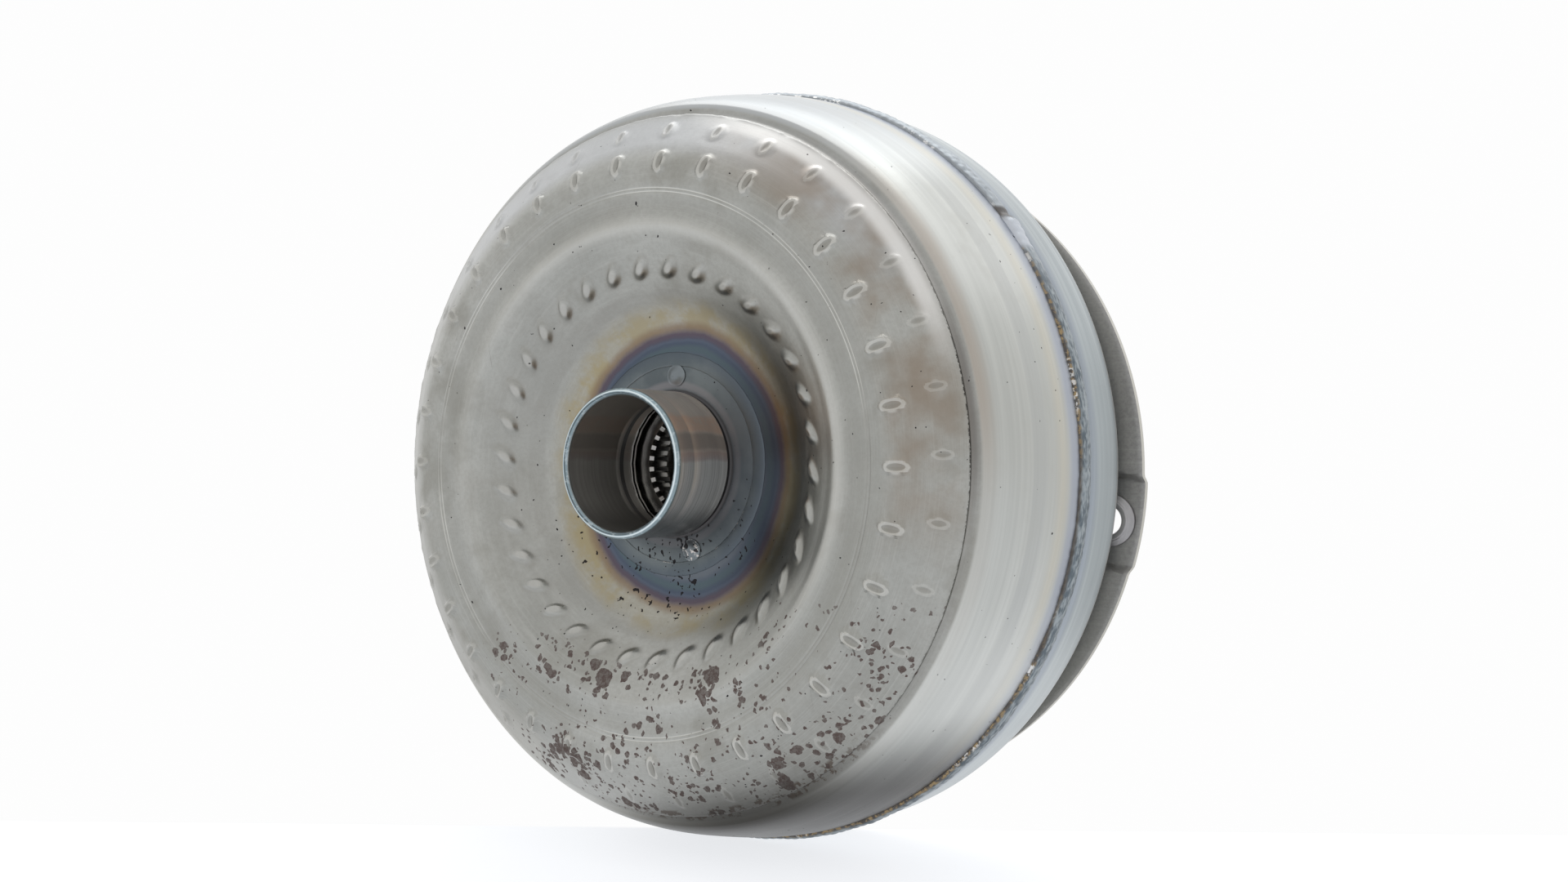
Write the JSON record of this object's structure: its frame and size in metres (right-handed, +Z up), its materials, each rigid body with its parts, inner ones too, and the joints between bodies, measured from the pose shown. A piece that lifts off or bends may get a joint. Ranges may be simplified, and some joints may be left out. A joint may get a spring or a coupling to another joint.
{
  "type": "torque converter",
  "caption": "Torque converter for an automatic gearbox: pressed, welded ring-shaped housing with a pump hub, a lobed drive plate, and blade wheels, clutch and damper inside.",
  "frame": {"origin": "centre of the crank pilot's end face", "axes": "+Y along the turning axis towards the engine, +X to the side, +Z up as the part stands on its rim"},
  "size_m": [0.2748, 0.122, 0.272],
  "materials": {
    "satin_steel": "satin, brushed",
    "machined_steel": "turned",
    "dark_steel": "dark, rolled",
    "weld_metal": "as welded",
    "rolled_steel": "rolled",
    "cast_alloy": "cast",
    "hardened_steel": "ground",
    "spring_steel": "blued",
    "bearing_polymer": "matt",
    "friction_paper": "matt, porous"
  },
  "bodies": {
    "housing": {"impeller_shell": "satin_steel", "impeller_wheel": "satin_steel", "pump_hub": "machined_steel", "hub_weld": "weld_metal", "hub_spot_weld_1": "weld_metal", "hub_spot_weld_2": "weld_metal", "rim_weld": "weld_metal", "front_cover": "rolled_steel", "crank_pilot": "machined_steel", "drive_plate": "dark_steel", "drive_plate_weld": "weld_metal", "plate_nut_1": "machined_steel", "plate_nut_2": "machined_steel", "plate_nut_3": "machined_steel", "rear_bearing_rear_race": "hardened_steel", "front_thrust_washer": "bearing_polymer"},
    "turbine": {"turbine_shell": "satin_steel", "turbine_wheel": "satin_steel", "turbine_hub": "machined_steel", "turbine_rivet_1": "machined_steel", "turbine_rivet_2": "machined_steel", "turbine_rivet_3": "machined_steel", "turbine_rivet_4": "machined_steel", "turbine_rivet_5": "machined_steel", "turbine_rivet_6": "machined_steel", "damper_hub_plate": "dark_steel", "piston_seal": "bearing_polymer", "front_bearing_front_race": "hardened_steel"},
    "damper": {"damper_rear_plate": "dark_steel", "damper_front_plate": "dark_steel", "damper_rim": "dark_steel", "damper_spring_1": "spring_steel", "damper_spring_2": "spring_steel", "damper_spring_3": "spring_steel", "damper_spring_4": "spring_steel", "damper_spring_5": "spring_steel", "damper_spring_6": "spring_steel"},
    "piston": {"lock_up_piston": "satin_steel", "friction_lining": "friction_paper"},
    "stator": {"stator_wheel": "cast_alloy", "clutch_cam": "hardened_steel", "clutch_cage": "bearing_polymer", "clutch_roller_1": "hardened_steel", "clutch_roller_2": "hardened_steel", "clutch_roller_3": "hardened_steel", "clutch_roller_4": "hardened_steel", "clutch_roller_5": "hardened_steel", "clutch_roller_6": "hardened_steel", "clutch_roller_7": "hardened_steel", "clutch_roller_8": "hardened_steel", "stator_rear_cap": "cast_alloy", "stator_front_cap": "cast_alloy", "stator_snap_ring": "spring_steel", "rear_bearing_front_race": "hardened_steel", "rear_bearing_needles": "machined_steel", "front_bearing_rear_race": "hardened_steel", "front_bearing_needles": "machined_steel"},
    "inner_race": {"clutch_inner_race": "hardened_steel"}
  },
  "joints": [
    {"name": "turbine_spin", "type": "hinge", "parent": "housing", "child": "turbine", "pos_m": [0, 0, 0], "axis": [0, 1, 0], "continuous": true},
    {"name": "damper_twist", "type": "hinge", "parent": "turbine", "child": "damper", "pos_m": [0, 0, 0], "axis": [0, 1, 0], "range_deg": [-8, 8], "stiffness_Nm_per_rad": 300, "deforming": ["damper_spring_1", "damper_spring_2", "damper_spring_3", "damper_spring_4", "damper_spring_5", "damper_spring_6"]},
    {"name": "piston_slide", "type": "slide", "parent": "damper", "child": "piston", "axis": [0, 1, 0], "range_m": [0, 0.0015]},
    {"name": "stator_spin", "type": "hinge", "parent": "housing", "child": "stator", "pos_m": [0, 0, 0], "axis": [0, 1, 0], "continuous": true},
    {"name": "inner_race_spin", "type": "hinge", "parent": "stator", "child": "inner_race", "pos_m": [0, 0, 0], "axis": [0, 1, 0], "continuous": true}
  ]
}
